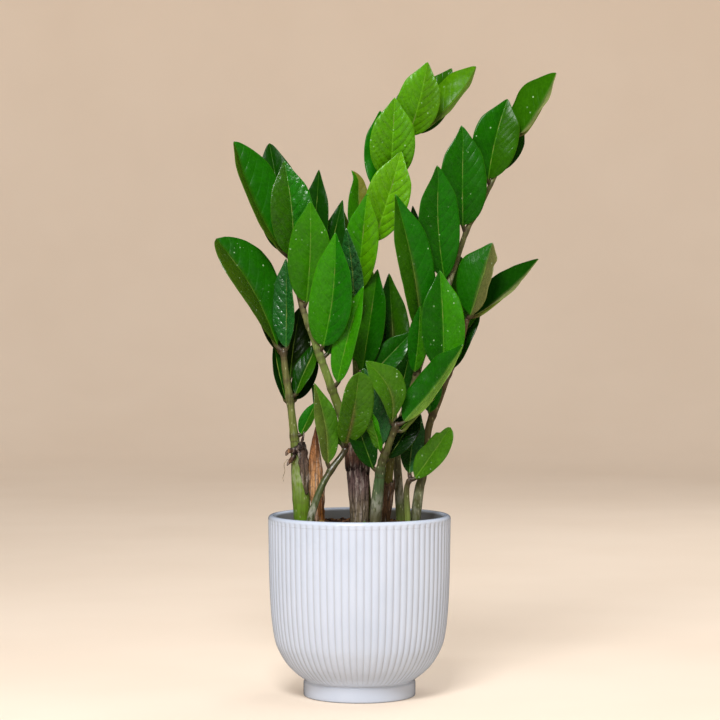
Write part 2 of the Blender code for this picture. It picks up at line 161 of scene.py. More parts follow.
# Base colours of a blade half, as sRGB 0 to 255: the leaf's own greens, lime on young growth and deep on old,
# painted lighter or darker for the light and shade on each half. The darkest tones are painted shade on
# blades deep in the crown, and the bluish ones a painted sheen. Bronze and bark mix the blade's own olive
# with a painted warm reflection, and pale mixes a paler underside with painted light.
TONES = {
    "lime": (84, 148, 8),
    "young": (70, 134, 4),
    "spring": (64, 116, 4),
    "fresh": (44, 120, 3),
    "leaf": (42, 106, 3),
    "mid": (20, 94, 3),
    "deep": (20, 84, 2),
    "moss": (36, 84, 3),
    "bronze": (50, 78, 10),
    "dim": (14, 58, 3),
    "night": (7, 34, 3),
    "brown_shade": (18, 36, 5),
    "worn": (56, 104, 14),
    "sage": (74, 96, 34),
    "blue": (22, 84, 26),
    "bluish_sheen": (40, 92, 44),
    "pale": (104, 116, 66),
    "bark": (92, 96, 52),
    "rim": (98, 130, 48),
    "brass": (104, 108, 36),
}

# How deep the side veins quilt a blade, in millimetres.
QUILT = {"j1": 1.2, "j2": 1.5, "j3": 1.4, "j4": 0.8, "b3": 0.9, "k2": 1.0, "t3": 0.5, "t4": 0.5, "b6": 0.7,
         "a2": 0.5, "e5": 0.6, "j5": 0.15, "t2": 0.3, "r1": 0.15}
QUILT_OTHER = 0.25
# How strongly a blade is puckered between its veins.
PUCKER = {"k2": 3.0, "a2": 1.8, "b3": 1.4, "e5": 2.0}
PUCKER_OTHER = 0.3
# How far the midrib lies off the middle of a blade, as a share of its half width.
RIB_SHIFTS = {"t1": 0.35, "r2": 0.35, "j5": 0.3, "b1": -0.3, "j9": 0.1, "e4": -0.2}
# White droplet marks, dust and dried spots with painted glints of water droplets: how thickly they cover a
# blade.
SPECKS = {"p1": 0.8, "m2": 1.0, "e3": 1.0, "a1": 0.6, "a2": 0.5, "m1": 0.5, "t4": 0.5, "b6": 0.4, "h2": 0.5,
          "e4": 0.4, "r1": 0.4}
SPECKS_OTHER = 0.15
# How full a blade stays towards its tip (less is fuller) and how far its last part tapers in.
TIP_SHAPES = {"a1": (0.56, 0.0), "m2": (0.42, 0.0), "h2": (0.46, 0.0), "e3": (0.62, 0.35), "b1": (0.6, 0.3),
              "b2": (0.6, 0.3), "j5": (0.62, 0.3), "t1": (0.62, 0.3), "j9": (0.6, 0.2)}
TIP_SHAPE = (0.68, 0.42)
# Sideways hook of the last part of a blade, in millimetres.
HOOKS = {"j9": -5.0, "t3": -1.5, "t4": -1.5, "b1": -1.0}
HOOK_START = 0.86
# Where half a blade (-1 left, 1 right) steps in, over how much of its length, and by how much of its width.
# A negative share steps out.
STEPS = {"h2": [(-1, 0.3, 0.3, 0.35), (-1, 0.8, 0.05, 0.35)],
         "r1": [(1, 0.3, 0.2, 0.2), (1, 0.74, 0.14, -0.9)]}
# Blades whose midrib is browned, and how strongly.
BROWN_RIBS = {"m2": 0.75, "n3": 0.6, "e3": 0.4, "c1": 0.35, "m1": 0.35, "j9": 0.6, "j10": 0.6}
# How glossy a blade is beside the others.
SHINE = {"j5": 0.2, "t2": 0.35, "b2": 0.15, "a3": 0.1, "a5": 0.15, "b4": 0.3, "k1": 0.3, "t1": 0.05,
         "b1": 0.5, "k2": 3.0, "e5": 2.4, "b3": 1.8, "a2": 2.2, "j2": 1.5, "j3": 1.5, "j1": 1.4, "r2": 0.05,
         "a6": 0.2, "a7": 0.2, "a4": 0.5, "r1": 0.6, "r3": 0.4, "q2": 0.5, "j7": 0.3, "j6": 0.3, "h1": 1.5}
# The share of a leaflet's length that is its stalk, and the least widths of its foot and its tip.
PETIOLE_SHARE = 0.05
PETIOLE_WIDTH = 2.2
TIP_WIDTH = 0.5
# Where the last part of a blade begins.
TIP_START = 0.7
# How far a leaflet's base stands off its stem.
ATTACH_GAP = 1.2
LEAF_SHINE = 0.42
# Side veins along a blade, and the rows and columns of its grid.
VEINS = 8.51
STATIONS = 64
ACROSS = 25


def srgb(red, green, blue):
    """Linear colour of an sRGB triple of 0 to 255."""
    shares = [part / 255 for part in (red, green, blue)]
    return tuple(part / 12.92 if part <= 0.04045 else ((part + 0.055) / 1.055) ** 2.4 for part in shares)


def tones_at(values, stops):
    """Linear colour at each value, read between stops of (value, sRGB)."""
    colors = np.array([srgb(*color) for _, color in stops])
    places = [place for place, _ in stops]
    return np.stack([np.interp(values, places, colors[:, axis]) for axis in range(3)], 1)


def toward(base, color, share):
    """Linear colours moved a share of the way to an sRGB colour."""
    return base * (1 - share) + np.array(srgb(*color)) * share


# ---------------------------------------------------------------- node helpers


class Nodes:
    """A material and short ways to add nodes to it."""

    def __init__(self, name):
        self.material = bpy.data.materials.new(name)
        self.material.use_nodes = True
        self.tree = self.material.node_tree
        self.shader = self.tree.nodes["Principled BSDF"]

    def set(self, socket, value):
        if isinstance(value, bpy.types.NodeSocket):
            self.tree.links.new(value, socket)
        else:
            socket.default_value = value

    def add(self, kind, **settings):
        node = self.tree.nodes.new(kind)
        for key, value in settings.items():
            if key in node.inputs:
                self.set(node.inputs[key], value)
            else:
                setattr(node, key, value)
        return node

    def number(self, name):
        return self.add("ShaderNodeAttribute", attribute_name=name).outputs["Fac"]

    def vector(self, name):
        return self.add("ShaderNodeAttribute", attribute_name=name).outputs["Vector"]

    def math(self, operation, first, second=0.0, third=0.0):
        node = self.add("ShaderNodeMath", operation=operation)
        for socket, value in zip(node.inputs, (first, second, third)):
            self.set(socket, value)
        return node.outputs[0]

    def times(self, first, *others):
        for value in others:
            first = self.math("MULTIPLY", first, value)
        return first

    def ramp(self, value, low, high, to_low=0.0, to_high=1.0):
        """Smooth step of a value from low to high."""
        ends = {"From Min": low, "From Max": high, "To Min": to_low, "To Max": to_high}
        node = self.add("ShaderNodeMapRange", interpolation_type="SMOOTHSTEP", Value=value, **ends)
        return node.outputs["Result"]

    def place(self, stretch=None):
        """Object space, with each axis scaled by the stretch."""
        place = self.add("ShaderNodeTexCoord").outputs["Object"]
        if stretch is None:
            return place
        scaled = self.add("ShaderNodeMapping", vector_type="POINT", Vector=place, Scale=stretch)
        return scaled.outputs["Vector"]

    def noise(self, scale, detail=3.0, stretch=None):
        node = self.add("ShaderNodeTexNoise", Scale=scale, Detail=detail, Roughness=0.55,
                        Vector=self.place(stretch))
        return node.outputs["Fac"]

    def voronoi(self, scale=1.0, stretch=None, feature="F1"):
        return self.add("ShaderNodeTexVoronoi", feature=feature, Scale=scale, Vector=self.place(stretch))

    def mix(self, factor, first, second, blend="MIX"):
        node = self.add("ShaderNodeMix", data_type="RGBA", blend_type=blend)
        self.set(node.inputs["Factor"], factor)
        for socket, color in ((node.inputs[6], first), (node.inputs[7], second)):
            self.set(socket, color if isinstance(color, bpy.types.NodeSocket) else (*color, 1.0))
        return node.outputs[2]

    def shaded(self, color, grey):
        """A colour multiplied by a grey value."""
        triple = self.add("ShaderNodeCombineXYZ", X=grey, Y=grey, Z=grey).outputs[0]
        return self.mix(1.0, color, triple, "MULTIPLY")

    def split(self, vector):
        return self.add("ShaderNodeSeparateXYZ", Vector=vector).outputs

    def bump(self, height, strength, distance, normal=None):
        node = self.add("ShaderNodeBump", Height=height, Strength=strength, Distance=distance)
        if normal is not None:
            self.set(node.inputs["Normal"], normal)
        return node.outputs["Normal"]

    def finish(self, color, roughness, normal, **others):
        """Wires the shader up. Other inputs are named with _ for a space."""
        inputs = {"Base Color": color, "Roughness": roughness, "Normal": normal}
        inputs.update({name.replace("_", " "): value for name, value in others.items()})
        for name, value in inputs.items():
            self.set(self.shader.inputs[name], value)
        return self.material


# ---------------------------------------------------------------- mesh helpers


def sheet_faces(rows, columns, wrap=False):
    """Quads of a grid of vertices; wrap joins the last column to the first."""
    across = columns if wrap else columns - 1
    faces = []
    for row in range(rows - 1):
        for column in range(across):
            after = (column + 1) % columns
            faces.append((row * columns + column, row * columns + after,
                          (row + 1) * columns + after, (row + 1) * columns + column))
    return faces


def shifted(faces, start):
    return [tuple(index + start for index in face) for face in faces]


def thick_faces(rows, columns):
    """Faces of a closed plate made of a top grid followed by a bottom grid of the same size."""
    size = rows * columns
    top = sheet_faces(rows, columns)
    faces = top + [tuple(index + size for index in reversed(face)) for face in top]
    edge = list(range(columns))
    edge += [row * columns + columns - 1 for row in range(1, rows)]
    edge += [(rows - 1) * columns + column for column in range(columns - 2, -1, -1)]
    edge += [row * columns for row in range(rows - 2, 0, -1)]
    for here, after in zip(edge, edge[1:] + edge[:1]):
        faces.append((after, here, here + size, after + size))
    return faces


def unit(vector):
    return vector / np.linalg.norm(vector)


def circle(columns):
    """Evenly spaced angles round a full turn."""
    return np.linspace(0, 2 * math.pi, columns, endpoint=False)


def tube_points(path, radii, segments, lobes=1.0):
    """Rings of points round a path, carried along it without twisting."""
    path = np.asarray(path, float)
    along = np.gradient(path, axis=0)
    along /= np.linalg.norm(along, axis=1)[:, None]
    side = np.cross(along[0], (0.0, 1.0, 0.0))
    side /= np.linalg.norm(side)
    angles = circle(segments)
    rings = []
    for point, radius, direction in zip(path, radii, along):
        side = unit(side - np.dot(side, direction) * direction)
        other = np.cross(direction, side)
        reach = radius * lobes
        rings.append(point + np.outer(np.cos(angles) * reach, side) + np.outer(np.sin(angles) * reach, other))
    return np.array(rings)


def tube_faces(rows, segments):
    faces = sheet_faces(rows, segments, wrap=True)
    faces.append(tuple(range(segments - 1, -1, -1)))
    faces.append(tuple((rows - 1) * segments + index for index in range(segments)))
    return faces


def ball(rings, segments):
    """A unit ball as rings of points round Z, with no point at either pole."""
    points = []
    for ring in range(rings):
        polar = math.pi * (ring + 0.5) / rings
        for angle in circle(segments):
            points.append((math.sin(polar) * math.cos(angle), math.sin(polar) * math.sin(angle),
                           -math.cos(polar)))
    return np.array(points)


def make_piece(name, points, faces, material, attributes, replaces=()):
    """A smooth-shaded mesh piece in millimetres that rides on the plant's one body."""
    mesh = bpy.data.meshes.new(name)
    mesh.from_pydata((np.asarray(points) * MM).tolist(), [], faces)
    mesh.shade_smooth()
    for key, values in attributes.items():
        values = np.asarray(values, np.float32)
        single = values.ndim == 1
        layer = mesh.attributes.new(key, "FLOAT" if single else "FLOAT_VECTOR", "POINT")
        layer.data.foreach_set("value" if single else "vector", values.ravel())
    piece = bpy.data.objects.new(name, mesh)
    bpy.context.scene.collection.objects.link(piece)
    mesh.materials.append(material)
    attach(piece, "root")
    if replaces:
        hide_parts(*replaces)
    return piece


def smooth_path(rows, count):
    """Evenly spaced points on a Catmull-Rom curve through the rows."""
    rows = np.array(rows, float)
    padded = np.vstack([2 * rows[0] - rows[1], rows, 2 * rows[-1] - rows[-2]])
    points = []
    for place in np.linspace(0, len(rows) - 1, count):
        start = min(int(place), len(rows) - 2)
        t = place - start
        p0, p1, p2, p3 = padded[start:start + 4]
        points.append(0.5 * (2 * p1 + (p2 - p0) * t + (2 * p0 - 5 * p1 + 4 * p2 - p3) * t ** 2
                             + (3 * p1 - p0 - 3 * p2 + p3) * t ** 3))
    return np.array(points)


PATHS = {name: smooth_path(rows, 240) for name, rows in STEMS.items()}


def on_path(path, height):
    """The columns of a stem's path (x, y, z, radius) at a height."""
    return np.array([np.interp(height, path[:, 2], path[:, axis]) for axis in range(4)])


def stem_at(stem, height):
    """Position, radius and direction of a stem at a height."""
    path = PATHS[stem]
    here, near, far = (on_path(path, height + offset) for offset in (0, -2, 2))
    return here[:3], here[3], unit(far[:3] - near[:3])


def rough(points, scale, seed):
    """Smooth noise from -1 to 1 at points in millimetres."""
    return np.array([noise.noise(Vector(p) * scale + Vector((seed, 0, 0))) for p in points])


def ease(value):
    """Smooth step of a value clipped to 0 and 1."""
    value = np.clip(value, 0, 1)
    return value ** 2 * (3 - 2 * value)


# ---------------------------------------------------------------- leaflets

# Where a blade's grid starts along it, and how its rows and columns are spread.
FIRST_STATION = 0.03
END_SPREAD = 0.06
EDGE_CROWDING = 1.15
BLADE_THICKNESS = 0.55
EDGE_THINNING = 0.3
# Roundness of the fold at the midrib, and the depth and reach of the groove along it.
CREASE_ROUNDING = 0.004
CREASE_LIFT = 0.063
GROOVE_DEPTH = 0.35
GROOVE_REACH = 0.8
VEIN_WIDTH = 0.13
CRUMPLE_HEIGHT = 0.45
# The tube under a blade that is its stalk and midrib.
RIB_SEGMENTS = 10
RIB_STATIONS = 26
RIB_START = -0.02
RIB_LENGTH = 0.88
RIB_RADIUS = 1.5
RIB_END_RADIUS = 0.25
PETIOLE_TONE = (60, 46, 36)
FOOT_TONE = (66, 52, 36)
BROWN_TONE = (92, 78, 50)
UNDERSIDE_TONE = (98, 122, 46)
UNDERSIDE_SHARE = 0.7


def leaf_frame(leaf):
    """Node, base and tip of a leaflet, and the right, width and upper-face directions of its blade."""
    node, radius, along = stem_at(leaf.stem, leaf.height)
    tip = np.array(leaf.tip, float)
    reach = tip - node
    side = unit(reach - np.dot(reach, along) * along)
    base = node + side * (radius + ATTACH_GAP)
    axis = unit(tip - base)
    right = unit(np.cross(axis, (0.0, -1.0, 0.0)))
    front = np.cross(right, axis)
    angle = math.radians(leaf.turn)
    across = right * math.cos(angle) + front * math.sin(angle)
    face = front * math.cos(angle) - right * math.sin(angle)
    return node, base, tip, right, across, face


def blade_share(place, widest, tip_shape):
    """Half width of the blade at places from 0 at its foot to 1 at its tip, as a share of the most."""
    narrowing, taper = tip_shape
    rise = narrowing * widest / (1 - widest)
    most = widest ** rise * (1 - widest) ** narrowing
    share = place ** rise * (1 - place) ** narrowing / most
    return share * (1 - taper * ease((place - TIP_START) / (1 - TIP_START)))


def blade_middle(leaf, base, tip, right, face, place):
    """Points of the blade's middle line, bowed, swayed and hooked."""
    arch = np.sin(np.pi * place)
    hook = HOOKS.get(leaf.name, 0.0) * np.clip((place - HOOK_START) / (1 - HOOK_START), 0, 1) ** 2
    sideways = arch * leaf.sway + hook
    return base + np.outer(place, tip - base) + np.outer(arch * leaf.bow, face) + np.outer(sideways, right)


class Blade:
    """The grid of points of one blade, and what is worked out from where they lie on it."""

    def __init__(self, leaf, length):
        name = leaf.name
        self.leaf, self.length = leaf, length
        self.quilt = QUILT.get(name, QUILT_OTHER)
        self.pucker = PUCKER.get(name, PUCKER_OTHER)
        self.shift = RIB_SHIFTS.get(name, 0.0)
        u = np.linspace(0, 1, STATIONS)
        self.stations = FIRST_STATION + (1 - FIRST_STATION) * (u + END_SPREAD * np.sin(2 * np.pi * u) / np.pi)
        blade = np.clip((self.stations - PETIOLE_SHARE) / (1 - PETIOLE_SHARE), 0, 1)
        least = PETIOLE_WIDTH + (TIP_WIDTH - PETIOLE_WIDTH) * self.stations
        outline = leaf.width * blade_share(blade, leaf.widest, TIP_SHAPES.get(name, TIP_SHAPE))
        self.outline = np.maximum(least, outline) / 2
        v = np.linspace(-1, 1, ACROSS)
        self.place, self.side = np.meshgrid(self.stations, np.sign(v) * np.abs(v) ** EDGE_CROWDING,
                                            indexing="ij")
        self.half = self.outline[:, None] * np.ones_like(self.side)
        for half_side, start, run, cut in STEPS.get(name, []):
            stepped = self.half * (1 - cut * ease((self.place - start) / run))
            self.half = np.where(self.side * half_side > 0, stepped, self.half)
        # Places across the blade from its midrib: -1 and 1 at the margins, then the same in millimetres.
        self.reach = np.where(self.side < self.shift, 1 + self.shift, 1 - self.shift)
        self.from_rib = (self.side - self.shift) / self.reach
        self.lean = np.abs(self.from_rib)
        self.lateral = self.lean * self.reach * self.half
        # 1 where the blade is wide, 0 at its narrow foot and tip.
        self.open = np.clip(self.half / (0.5 * leaf.width) * 1.6 - 0.4, 0, 1)

    def relief(self, chance):
        """How far each point stands out of the blade's plane; also sets its place between the side veins."""
        lean, place = self.lean, self.place
        crease = (np.sqrt(self.from_rib ** 2 + CREASE_ROUNDING) - CREASE_LIFT) * self.reach
        camber = 0.16 + 0.06 * chance.random()
        slant = self.lateral * (0.85 + 0.55 * lean) / self.length
        self.phase = (place - slant) * VEINS + chance.random()
        vein_gap = np.abs(self.phase - np.floor(self.phase) - 0.5)
        vein = np.exp(-((0.5 - vein_gap) / VEIN_WIDTH) ** 2)
        quilted = np.clip((1 - lean) * 3.5, 0, 1) * np.clip(lean * 5, 0, 1) * self.open
        rise = self.half * (math.sin(math.radians(self.leaf.fold)) * crease + camber * (lean - lean ** 2))
        rise += self.quilt * quilted * (0.5 - 1.1 * vein)
        rise -= GROOVE_DEPTH * np.exp(-(self.lateral / GROOVE_REACH) ** 2) * self.open
        turns = 1.1 + chance.random()
        start = chance.random() * FULL_TURN
        wave = np.sin(turns * FULL_TURN * place + start + 1.3 * self.side)
        rise += (0.5 + 0.7 * chance.random()) * lean ** 2 * self.open * wave
        flat = np.stack([self.side * 0.5 * self.leaf.width, place * self.length,
                         np.full_like(lean, ord(self.leaf.name[0]) * 9.0)], -1).reshape(-1, 3)
        crumple = rough(flat, 0.12, 1.0) + 0.5 * rough(flat, 0.3, 7.0) * min(self.pucker, 1.2)
        return rise + CRUMPLE_HEIGHT * crumple.reshape(lean.shape) * self.open

    def tones(self, chance):
        """Colours of the upper face: one tone each side of the midrib, with that half's light and shade
        painted in, browned at the foot.
        """
        left, right = (np.array(srgb(*TONES[tone])) for tone in (self.leaf.left, self.leaf.right))
        blend = (np.clip(self.from_rib * 9.0, -1, 1) * 0.5 + 0.5)[..., None]
        tone = left * (1 - blend) + right * blend
        tone = tone * (0.94 + 0.12 * chance.random())
        brown = BROWN_RIBS.get(self.leaf.name, 0.0) * np.exp(-(self.lateral / 1.7) ** 2)
        tone = toward(tone, BROWN_TONE, (brown * (1 - ease((self.place - 0.35) / 0.4)))[..., None])
        return toward(tone, FOOT_TONE, 0.6 * np.exp(-(self.place / 0.05) ** 2)[..., None])


def leaf_rib(blade, node, base, tip, right, across, face):
    """Points and colours of the stalk and midrib under a blade, as one tapering tube."""
    along = np.linspace(0, 1, RIB_STATIONS)
    place = RIB_START + RIB_LENGTH * along
    path = blade_middle(blade.leaf, base, tip, right, face, np.clip(place, 0, 1))
    path[0] = node
    path[1] = node + 0.55 * (base - node)
    half = np.interp(place, blade.stations, blade.outline)
    off_middle = blade.shift * math.cos(math.radians(blade.leaf.fold)) * half * ease(place / 0.1)
    path += np.outer(off_middle, across)
    radii = RIB_RADIUS * (1 - along) ** 1.3 + RIB_END_RADIUS
    sunk = np.clip((place - 0.01) / 0.05, 0, 1)
    path -= np.outer((radii + RIB_END_RADIUS) * sunk, face)
    paling = np.clip((place - 0.02) / 0.12, 0, 1)[:, None]
    tone = toward(np.array(srgb(*PETIOLE_TONE)), UNDERSIDE_TONE, paling)
    points = tube_points(path, radii, RIB_SEGMENTS).reshape(-1, 3)
    return points, np.repeat(tone, RIB_SEGMENTS, axis=0)


def make_leaf(leaf, material, replaces):
    """A blade as a thick folded plate, with its stalk and midrib as a tube below it."""
    chance = random.Random(leaf.name)
    node, base, tip, right, across, face = leaf_frame(leaf)
    blade = Blade(leaf, np.linalg.norm(tip - base))
    middle = blade_middle(leaf, base, tip, right, face, blade.stations)
    rise = blade.relief(chance)
    spread = blade.half * blade.side * math.cos(math.radians(leaf.fold))
    top = middle[:, None, :] + spread[..., None] * across + rise[..., None] * face
    bottom = top - (BLADE_THICKNESS - EDGE_THINNING * blade.lean ** 3)[..., None] * face
    rib, rib_tone = leaf_rib(blade, node, base, tip, right, across, face)
    points = np.concatenate([top.reshape(-1, 3), bottom.reshape(-1, 3), rib])
    size, rib_size = blade.side.size, len(rib)
    faces = thick_faces(STATIONS, ACROSS) + shifted(tube_faces(RIB_STATIONS, RIB_SEGMENTS), 2 * size)

    tone = blade.tones(chance)
    below = tone * 0.55 + np.array(srgb(*UNDERSIDE_TONE)) * 0.3
    colors = np.concatenate([tone.reshape(-1, 3), below.reshape(-1, 3), rib_tone])
    facts = np.stack([blade.from_rib, blade.place, blade.phase], -1).reshape(-1, 3)
    facts = np.concatenate([facts, facts, np.tile((0.5, 0.3, 0.25), (rib_size, 1))])
    lateral, full = blade.lateral.ravel(), np.ones(size)
    upper = np.stack([lateral, blade.quilt * full, SPECKS.get(leaf.name, SPECKS_OTHER) * full], -1)
    under = np.stack([lateral, blade.quilt * full, 0 * full], -1)
    more = np.concatenate([upper, under, np.tile((9.0, 0.0, 0.0), (rib_size, 1))])
    return make_piece("leaf_" + leaf.name, points, faces, material,
                      {"tone": colors, "blade": facts, "finish": more,
                       "under": np.concatenate([0 * full, full, np.full(rib_size, UNDERSIDE_SHARE)]),
                       "shine": np.full(len(points), SHINE.get(leaf.name, 1.0)),
                       "pucker": np.full(len(points), blade.pucker)}, replaces)


def leaf_material():
    n = Nodes("leaf_blade")
    tone = n.vector("tone")
    side, place, phase = n.split(n.vector("blade"))
    lateral, quilt, specks = n.split(n.vector("finish"))
    under = n.number("under")
    upper = n.math("SUBTRACT", 1.0, under)
    lean = n.math("ABSOLUTE", side)

    # Soft mottling, and fine grains of a lighter tone.
    color = n.shaded(tone, n.ramp(n.noise(60.0), 0.3, 0.7, 0.9, 1.1))
    light = n.mix(1.0, tone, (2.1, 1.75, 2.2), "MULTIPLY")
    fine = n.ramp(n.noise(420.0, 2.0), 0.4, 0.65)
    color = n.mix(n.times(fine, 0.22), color, light)

    # Side veins, then a net of small ones.
    gap = n.math("ABSOLUTE", n.math("SUBTRACT", n.math("FRACT", phase), 0.5))
    inner = n.ramp(lean, 0.98, 0.7)
    vein = n.times(n.ramp(gap, 0.44, 0.5), inner)
    color = n.mix(n.times(vein, n.math("MULTIPLY_ADD", quilt, 0.2, 0.25)), color, light)
    net = n.voronoi(1.0, (430.0, 430.0, 300.0), "DISTANCE_TO_EDGE")
    mesh = n.ramp(net.outputs["Distance"], 0.09, 0.0)
    color = n.mix(n.times(mesh, inner, 0.08), color, light)

    # The midrib, thinner and fainter towards the tip, and the pale margin: partly a paler edge, partly
    # painted light shining through the thin edge of the blade.
    width = n.math("MULTIPLY_ADD", place, -0.42, 0.64)
    rib = n.ramp(n.math("DIVIDE", lateral, width), 1.2, 0.5)
    pale = n.mix(0.25, light, srgb(112, 160, 40))
    color = n.mix(n.times(rib, n.math("MULTIPLY_ADD", place, -0.45, 0.85)), color, pale)
    margin = n.ramp(lean, 0.955, 0.995)
    color = n.mix(n.times(margin, 0.4), color, pale)

    # Droplet marks in clusters on the upper face: dust and dried spots, with painted glints of water
    # droplets.
    dots = n.voronoi(460.0)
    red, green, _ = n.split(dots.outputs["Color"])
    reach = n.math("MULTIPLY_ADD", green, 0.24, 0.08)
    spot = n.math("LESS_THAN", dots.outputs["Distance"], reach)
    chosen = n.math("GREATER_THAN", red, n.math("MULTIPLY_ADD", specks, -0.17, 1.0))
    patch = n.ramp(n.noise(90.0, 2.0), 0.4, 0.62, 0.15, 0.75)
    color = n.mix(n.times(spot, chosen, upper, patch), color, srgb(176, 206, 168))

    # Polish, duller below, with sunk veins and puckers between them.
    polish = n.ramp(n.noise(160.0), 0.3, 0.7, 0.2, 0.32)
    roughness = n.math("MULTIPLY_ADD", under, 0.25, polish)
    sunk = n.times(n.ramp(gap, 0.36, 0.5), inner)
    normal = n.bump(n.times(sunk, quilt, -1.0), 0.35, 0.001)
    normal = n.bump(n.times(n.noise(240.0), n.number("pucker")), 0.5, 0.0015, normal)
    normal = n.bump(n.times(n.noise(750.0, 2.0), 0.5), 0.12, 0.0004, normal)
    shine = n.times(n.number("shine"), LEAF_SHINE)
    return n.finish(color, roughness, normal, Specular_IOR_Level=shine)


# ---------------------------------------------------------------- stems

# Colour stops up each stem, as (z, sRGB).
STEM_COLORS = {
    "a": [(117, (96, 134, 24)), (140, (106, 146, 32)), (172, (112, 140, 50)), (186, (96, 110, 46)),
          (196, (112, 128, 58)), (228, (114, 124, 66)), (255, (112, 112, 68)), (266, (92, 80, 62))],
    "b": [(117, (100, 92, 74)), (185, (112, 110, 70)), (205, (128, 142, 78)), (228, (108, 126, 50)),
          (258, (126, 152, 72)), (275, (120, 138, 74)), (300, (126, 122, 82)), (340, (88, 72, 56))],
    "d": [(117, (84, 104, 54)), (150, (76, 90, 48)), (176, (70, 78, 42)), (193, (76, 68, 46))],
    "e": [(117, (96, 96, 66)), (140, (98, 98, 70)), (156, (84, 104, 70)), (170, (72, 104, 62)),
          (182, (84, 94, 46)), (205, (96, 96, 54)), (211, (84, 68, 54))],
    "f": [(117, (90, 110, 40)), (170, (116, 120, 44)), (185, (104, 98, 56)), (250, (108, 106, 66)),
          (320, (128, 130, 84)), (356, (110, 112, 66)), (430, (88, 104, 44))],
    "g": [(117, (94, 128, 34)), (140, (96, 108, 54)), (160, (104, 104, 76)), (268, (88, 102, 46))],
    "h": [(117, (124, 152, 66)), (140, (130, 150, 74)), (156, (104, 108, 66)), (168, (84, 68, 56))],
    "i": [(117, (88, 98, 58)), (160, (98, 104, 62)), (172, (94, 90, 62)), (205, (106, 102, 64)),
          (253, (94, 82, 54)), (291, (104, 84, 56))],
    "j": [(117, (92, 104, 50)), (195, (94, 110, 52)), (290, (100, 122, 54)), (441, (84, 138, 26))],
}
# How dark the stems are beside their stops.
STEM_TONE = 0.84
NODE_TINT = (64, 54, 42)
# Pale powdery bloom on a stem, as (z, reach, strength).
BLOOM = {"e": (148, 7, 0.45), "d": (140, 9, 0.6), "b": (203, 9, 0.3), "i": (148, 14, 0.25),
         "g": (156, 10, 0.5), "a": (168, 12, 0.25), "f": (310, 30, 0.2)}
STEM_SEGMENTS = 20
STEM_SPACING = 1.4
STEM_WAVER = 0.035
# How far below a node its ring scar lies.
RING_DROP = 4


def node_heights(stem):
    return sorted({leaf.height for leaf in LEAFLETS + INNER_LEAFLETS if leaf.stem == stem})


def closeness(heights, place, reach):
    """1 at a place on a stem, falling to 0 away from it."""
    return np.exp(-((heights - place) / reach) ** 2)


def make_stem(stem, material):
    """A tapering stalk, swollen and dark at each node, with a thin ring scar below it."""
    rows = PATHS[stem]
    length = np.linalg.norm(np.diff(rows[:, :3], axis=0), axis=1).sum()
    count = int(length / STEM_SPACING)
    pick = np.linspace(0, len(rows) - 1, count)
    path = np.stack([np.interp(pick, np.arange(len(rows)), rows[:, axis]) for axis in range(4)], 1)
    height = path[:, 2]
    swell, ring = np.zeros(count), np.zeros(count)
    for node in node_heights(stem):
        scar = node - RING_DROP
        swell += 0.16 * closeness(height, node, 3.2) - 0.05 * closeness(height, scar, 1.1)
        ring = np.maximum(ring, 0.6 * closeness(height, node + 0.5, 2.2))
        ring = np.maximum(ring, 0.55 * closeness(height, scar, 0.7))
    rounded = np.clip((height[-1] - height) / 3.0, 0.25, 1) ** 0.5
    radii = path[:, 3] * (1 + swell) * rounded
    seed = ord(stem) * 3.7
    lobes = 1 + STEM_WAVER * np.cos(3 * circle(STEM_SEGMENTS) + seed)
    tube = tube_points(path[:, :3], radii, STEM_SEGMENTS, lobes).reshape(-1, 3)
    middle = np.repeat(path[:, :3], STEM_SEGMENTS, axis=0)
    tube = middle + (tube - middle) * (1 + STEM_WAVER * rough(tube, 0.22, seed)[:, None])
    tone = STEM_TONE * tones_at(height, STEM_COLORS[stem])
    tone = toward(tone, NODE_TINT, np.clip(ring * 1.1, 0, 1)[:, None])
    bloom = np.zeros(count)
    if stem in BLOOM:
        place, reach, strength = BLOOM[stem]
        bloom = strength * closeness(height, place, reach)
    return make_piece("stalk_" + stem, tube, tube_faces(count, STEM_SEGMENTS), material,
                      {"tone": np.repeat(tone, STEM_SEGMENTS, axis=0),
                       "bloom": np.repeat(bloom, STEM_SEGMENTS)}, ["stem_" + stem])


def stem_material():
    n = Nodes("green_stem")
    streak = n.noise(1.0, 3.0, (650.0, 650.0, 45.0))
    color = n.shaded(n.vector("tone"), n.ramp(streak, 0.25, 0.75, 0.72, 1.22))
    blotch = n.ramp(n.noise(130.0, 4.0), 0.5, 0.72)
    color = n.mix(n.times(blotch, 0.3), color, srgb(84, 66, 48))
    flecks = n.voronoi(1.0, (620.0, 620.0, 260.0))
    chosen = n.math("GREATER_THAN", n.split(flecks.outputs["Color"])[0], 0.74)
    fleck = n.times(n.ramp(flecks.outputs["Distance"], 0.34, 0.14), chosen)
    color = n.mix(n.times(fleck, 0.5), color, srgb(184, 190, 150))
    patches = n.ramp(n.noise(1.0, 4.0, (420.0, 420.0, 170.0)), 0.38, 0.6)
    powder = n.times(n.number("bloom"), patches)
    color = n.mix(powder, color, srgb(192, 194, 182))
    roughness = n.math("MULTIPLY_ADD", powder, 0.3, n.ramp(streak, 0.3, 0.7, 0.26, 0.4))
    return n.finish(color, roughness, n.bump(streak, 0.3, 0.0005), Specular_IOR_Level=0.5)


# ---------------------------------------------------------------- papery bracts

SLEEVE_COLUMNS = 72
SLEEVE_ROWS = 40
SLEEVE_INNER = 0.93
SLEEVE_RIBS = 23
SCRAP_COLUMNS = 15
SCRAP_ROWS = 40
EDGE_SHADE = 0.45

